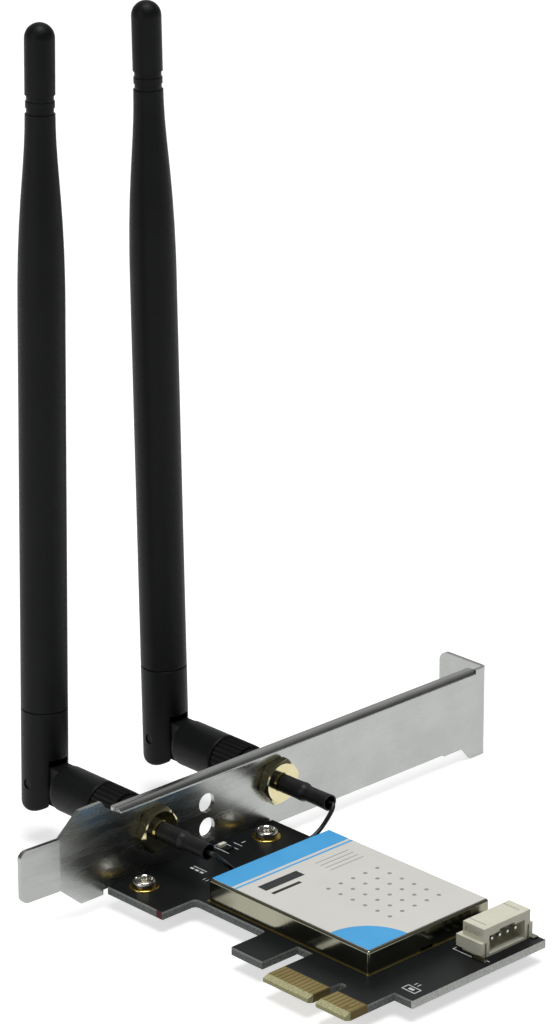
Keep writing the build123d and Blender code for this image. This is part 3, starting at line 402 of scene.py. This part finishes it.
for face in shape.faces:
    face.smooth = True
piece = addPiece("pan_screws", shape, "card", finishes["screw_steel"])
piece.data.set_sharp_from_angle(angle=math.radians(screw["sharp"]))
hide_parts("bracket_screws")
print("screws:", len(screw["spots"]))


# A thin plate of ink: rectangles and discs, each (x, y, width, length) or (x, y, radius), on one level
def printedPiece(name, rects, discs, level, thick, body, finish):
    shape = bmesh.new()
    for x, y, width, length in rects:
        made = bmesh.ops.create_grid(shape, x_segments=1, y_segments=1, size=0.5 * mm)["verts"]
        bmesh.ops.scale(shape, vec=(width, length, 1.0), verts=made)
        bmesh.ops.translate(shape, vec=((x + width / 2) * mm, (y + length / 2) * mm, level * mm),
                            verts=made)
    for x, y, radius in discs:
        bmesh.ops.create_circle(shape, cap_ends=True, segments=20, radius=radius * mm,
                                matrix=Matrix.Translation((x * mm, y * mm, level * mm)))
    grown = bmesh.ops.extrude_face_region(shape, geom=shape.faces[:])["geom"]
    bmesh.ops.translate(shape, vec=(0, 0, thick * mm),
                        verts=[v for v in grown if isinstance(v, bmesh.types.BMVert)])
    bmesh.ops.recalc_face_normals(shape, faces=shape.faces)
    return addPiece(name, shape, body, finish)


# Label print: a band along one short edge, a quarter disc in a corner, plain bars and a field of dots
label = {"x": 13.62, "y": -0.15, "width": 29.46, "length": 39.98, "top": 5.355, "ink": 0.008, "sink": 0.002}
art = {
    "band": 5.2, "line": 0.5, "lineGap": 0.7, "disc": 9.5,
    "bars": [(17.0, 29.2, 9.6, 2.3), (17.0, 27.2, 7.0, 0.8)],
    "dots": {"x": 25.6, "y": 6.6, "pitch": 3.1, "columns": 5, "rows": 6, "radius": 0.42},
    "dashes": {"x": 31.2, "y": 27.2, "pitch": 1.3, "count": 4, "long": 8.4, "wide": 0.22},
}
far = label["y"] + label["length"]
inkLevel = label["top"] - label["sink"]
bands = [(label["x"], far - art["band"], label["width"], art["band"]),
         (label["x"], far - art["band"] - art["lineGap"] - art["line"], label["width"], art["line"])]
printedPiece("label_bands", bands, [], inkLevel, label["ink"], "card", inks["blueInk"])
printedPiece("label_bars", art["bars"], [], inkLevel, label["ink"], "card", inks["darkInk"])
dots, dashes = art["dots"], art["dashes"]
rows = [(dots["x"] + dots["pitch"] * i, dots["y"] + dots["pitch"] * j, dots["radius"])
        for i in range(dots["columns"]) for j in range(dots["rows"])]
strokes = [(dashes["x"], dashes["y"] + dashes["pitch"] * i, dashes["long"], dashes["wide"])
           for i in range(dashes["count"])]
printedPiece("label_dots", strokes, rows, inkLevel, label["ink"], "card", inks["greyInk"])
shape = bmesh.new()
start = shape.verts.new(((label["x"] + art["disc"]) * mm, label["y"] * mm, inkLevel * mm))
heart = shape.verts.new((label["x"] * mm, label["y"] * mm, inkLevel * mm))
arm = shape.edges.new((heart, start))
bmesh.ops.spin(shape, geom=[heart, start, arm], cent=heart.co, axis=(0, 0, 1), angle=math.pi / 2, steps=24)
bmesh.ops.remove_doubles(shape, verts=shape.verts, dist=0.001 * mm)
grown = bmesh.ops.extrude_face_region(shape, geom=shape.faces[:])["geom"]
bmesh.ops.translate(shape, vec=(0, 0, label["ink"] * mm),
                    verts=[v for v in grown if isinstance(v, bmesh.types.BMVert)])
bmesh.ops.recalc_face_normals(shape, faces=shape.faces)
addPiece("label_corner", shape, "card", inks["blueInk"])
print("label print ready")

# White marks on the board: a frame round the lamp, short bars and ticks, all plain
silk = {
    "top": 0.785, "ink": 0.012, "sink": 0.004,
    "bars": [(29.3, 56.55, 2.6, 0.16), (29.3, 52.4, 0.16, 4.2), (31.74, 52.4, 0.16, 4.2),
             (33.2, 53.0, 0.2, 2.2), (34.2, 54.0, 1.0, 0.2), (26.0, 53.4, 0.2, 1.6), (27.0, 53.4, 0.2, 1.6),
             (20.0, 49.4, 0.5, 0.9), (20.0, 50.7, 0.5, 0.9), (20.0, 52.0, 0.5, 0.9), (21.0, 49.4, 0.2, 3.5),
             (18.3, 46.6, 0.8, 0.18), (18.3, 47.4, 0.8, 0.18),
             (30.9, -9.9, 0.2, 1.6), (31.4, -11.1, 0.2, 2.2), (31.9, -11.6, 0.2, 1.4),
             (14.0, -10.9, 0.2, 3.2), (15.6, -10.9, 0.2, 3.2), (14.2, -10.9, 1.4, 0.2),
             (14.2, -7.9, 1.4, 0.2), (14.6, -9.9, 0.6, 1.2), (16.4, -9.4, 0.9, 0.2), (16.4, -8.6, 0.9, 0.2),
             (31.05, -9.0, 0.18, 5.3), (31.05, -3.7, 0.9, 0.18)],
}
printedPiece("board_marks", silk["bars"], [], silk["top"] - silk["sink"], silk["ink"], "card",
             inks["whiteInk"])
print("board marks:", len(silk["bars"]))

# Camera solved from the bracket, the board and the key in the photograph
view = {"place": (-408.46, -421.67, 305.88), "azimuth": 43.589, "elevation": 20.222, "roll": -0.206,
        "focal": 3835.07, "high": 1024.0, "sensor": 24.0, "near": 0.01}
az, el, roll = (math.radians(view[k]) for k in ("azimuth", "elevation", "roll"))
forward = Vector((math.sin(az) * math.cos(el), math.cos(az) * math.cos(el), -math.sin(el)))
right = Vector((math.cos(az), -math.sin(az), 0.0))
up = right.cross(forward)
right, up = math.cos(roll) * right + math.sin(roll) * up, math.cos(roll) * up - math.sin(roll) * right
camera = bpy.data.objects.new("camera", bpy.data.cameras.new("camera"))
bpy.context.scene.collection.objects.link(camera)
turn = Matrix((right, up, -forward)).transposed().to_4x4()
camera.matrix_world = Matrix.Translation(Vector(view["place"]) * mm) @ turn
camera.data.sensor_fit = "VERTICAL"
camera.data.sensor_height = view["sensor"]
camera.data.lens = view["focal"] / view["high"] * view["sensor"]
camera.data.clip_start = view["near"]
bpy.context.scene.camera = camera

# White paper floor: shows white to the eye, to metal and to glass, and keeps the shadow
studio = {"floorSize": 12.0, "paper": 0.6, "floorGlow": 0.62, "drop": 0.1, "paleWall": (0.62, 0.72, 0.2)}
shape = bmesh.new()
bmesh.ops.create_grid(shape, x_segments=1, y_segments=1, size=studio["floorSize"] / 2,
                      matrix=Matrix.Translation((0, 0, cadBox[0][2] - studio["drop"] * mm)))
floorMesh = bpy.data.meshes.new("floor")
shape.to_mesh(floorMesh)
shape.free()
floor = bpy.data.objects.new("floor", floorMesh)
bpy.context.scene.collection.objects.link(floor)
paper = bpy.data.materials.new("whitePaper")
paper.use_nodes = True
tree = paper.node_tree
tree.nodes.clear()
rays = put(tree, "ShaderNodeLightPath").outputs
seen = put(tree, "ShaderNodeMath", links={0: rays["Is Camera Ray"], 1: rays["Is Glossy Ray"]},
           operation="MAXIMUM")
seen = put(tree, "ShaderNodeMath", links={0: seen.outputs[0], 1: rays["Is Transmission Ray"]},
           operation="MAXIMUM")
level = put(tree, "ShaderNodeMath", {1: studio["floorGlow"]}, {0: seen.outputs[0]}, operation="MULTIPLY")
matte = put(tree, "ShaderNodeBsdfDiffuse", {"Color": (studio["paper"],) * 3 + (1.0,)})
glow = put(tree, "ShaderNodeEmission", {"Color": (1.0, 1.0, 1.0, 1.0)}, {"Strength": level.outputs[0]})
both = put(tree, "ShaderNodeAddShader", links={0: matte.outputs[0], 1: glow.outputs[0]})
put(tree, "ShaderNodeOutputMaterial", links={"Surface": both.outputs[0]})
floorMesh.materials.append(paper)

# Dim room with a paler wall behind the card
world = bpy.data.worlds.new("studio")
bpy.context.scene.world = world
world.use_nodes = True
tree = world.node_tree
way = put(tree, "ShaderNodeTexCoord").outputs["Generated"]
side = put(tree, "ShaderNodeVectorMath", {1: studio["paleWall"]}, {0: way},
           operation="DOT_PRODUCT").outputs["Value"]
side = put(tree, "ShaderNodeMath", {1: 0.5, 2: 0.5}, {0: side}, operation="MULTIPLY_ADD").outputs[0]
room = put(tree, "ShaderNodeValToRGB", links={"Fac": side},
           stops=[(0.2, 0.06), (0.6, 0.13), (0.85, 0.36), (1.0, 0.62)])
tree.links.new(room.outputs["Color"], tree.nodes["Background"].inputs["Color"])

lamps = {
    "topBox": {"at": (0.0, -0.2, 2.0), "size": 1.2, "power": 34.5},
    "leftBox": {"at": (-0.85, 0.1, 0.4), "size": 0.5, "power": 1.6},
}
target = Vector((0.02, 0.04, 0.03))
for name, lamp in lamps.items():
    light = bpy.data.lights.new(name, "AREA")
    light.energy = lamp["power"]
    light.size = lamp["size"]
    holder = bpy.data.objects.new(name, light)
    holder.location = lamp["at"]
    holder.rotation_euler = (target - Vector(lamp["at"])).to_track_quat("-Z", "Y").to_euler()
    bpy.context.scene.collection.objects.link(holder)
bpy.context.scene.view_settings.view_transform = "Standard"
print("stage ready")
